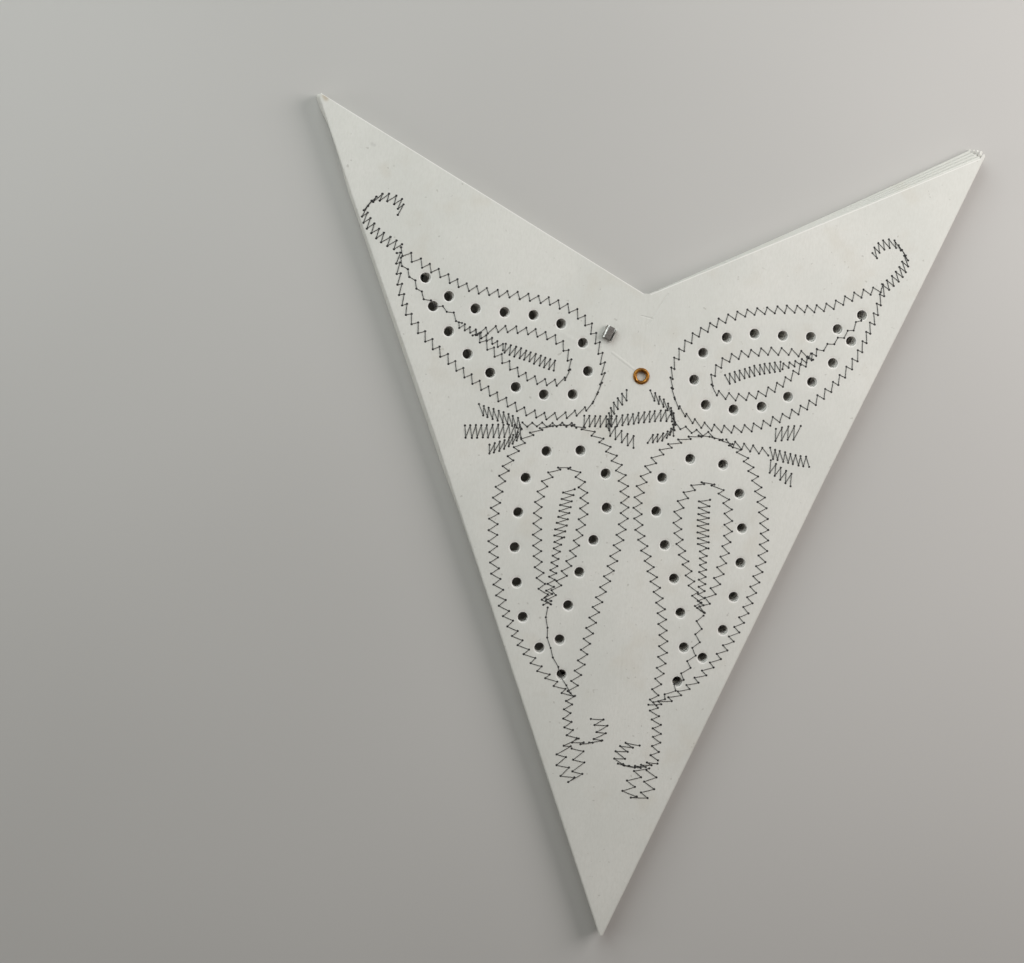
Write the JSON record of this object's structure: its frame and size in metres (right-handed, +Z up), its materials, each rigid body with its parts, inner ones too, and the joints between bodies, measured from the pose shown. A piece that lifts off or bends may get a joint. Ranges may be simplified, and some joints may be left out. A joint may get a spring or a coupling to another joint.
{
  "type": "folded paper advent star",
  "caption": "Hollow card rays folded flat like bellows into a dart shape, with punched and sewn paisley ornament, a brass eyelet near the notch and a small metal crimp.",
  "frame": {"origin": "on the underside's plane, in the middle of the outline's width and height", "axes": "+Y runs from the closed tips towards the notch and the wing corners, +X to the right as seen from above, +Z up out of the sewn top sheet"},
  "size_m": [0.2427, 0.2949, 0.0097],
  "materials": {
    "card": "matt white handmade paper card",
    "eyelet_brass": "antique brass, softly polished",
    "tinned_steel": "bright tinned steel",
    "sewing_thread": "black twisted sewing thread"
  },
  "bodies": {
    "root": {"ray_1": "card", "ray_2": "card", "ray_3": "card", "ray_4": "card", "ray_5": "card", "cord_eyelet": "eyelet_brass", "metal_crimp": "tinned_steel", "stitching": "sewing_thread"}
  },
  "joints": []
}
